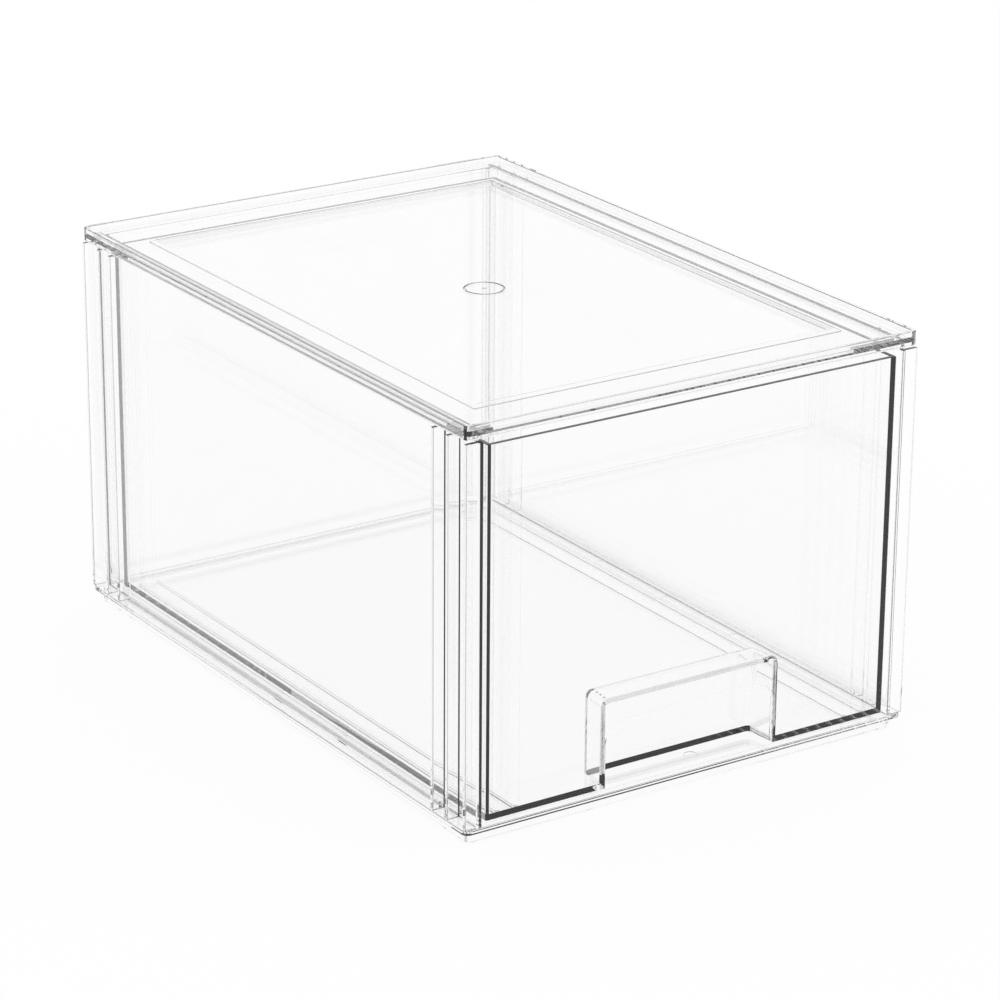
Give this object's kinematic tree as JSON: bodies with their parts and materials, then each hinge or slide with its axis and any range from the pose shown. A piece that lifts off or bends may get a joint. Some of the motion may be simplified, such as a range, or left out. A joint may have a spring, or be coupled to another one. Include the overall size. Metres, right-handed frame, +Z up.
{
  "type": "drawer box",
  "caption": "Stackable clear plastic drawer box with recessed side sheets, comb corner posts, a rimmed stepped top and a one-piece sliding drawer with an arched finger pull",
  "frame": {"origin": "centre of the underside of the foot ring, on the surface that the box stands on", "axes": "+Z up, -Y towards the drawer's front, +X to the right of someone facing the front"},
  "size_m": [0.22, 0.312, 0.1768],
  "materials": {
    "case_plastic": "clear, colourless injection-moulded styrene with polished faces",
    "drawer_plastic": "clear, colourless injection-moulded styrene with polished faces"
  },
  "bodies": {
    "case": {"base_panel": "case_plastic", "left_panel": "case_plastic", "right_panel": "case_plastic", "back_panel": "case_plastic", "top_panel": "case_plastic"},
    "tray": {"drawer": "drawer_plastic"}
  },
  "joints": [
    {"name": "drawer_slide", "type": "slide", "parent": "case", "child": "tray", "axis": [0, -1, 0], "range_m": [0, 0.25]}
  ]
}
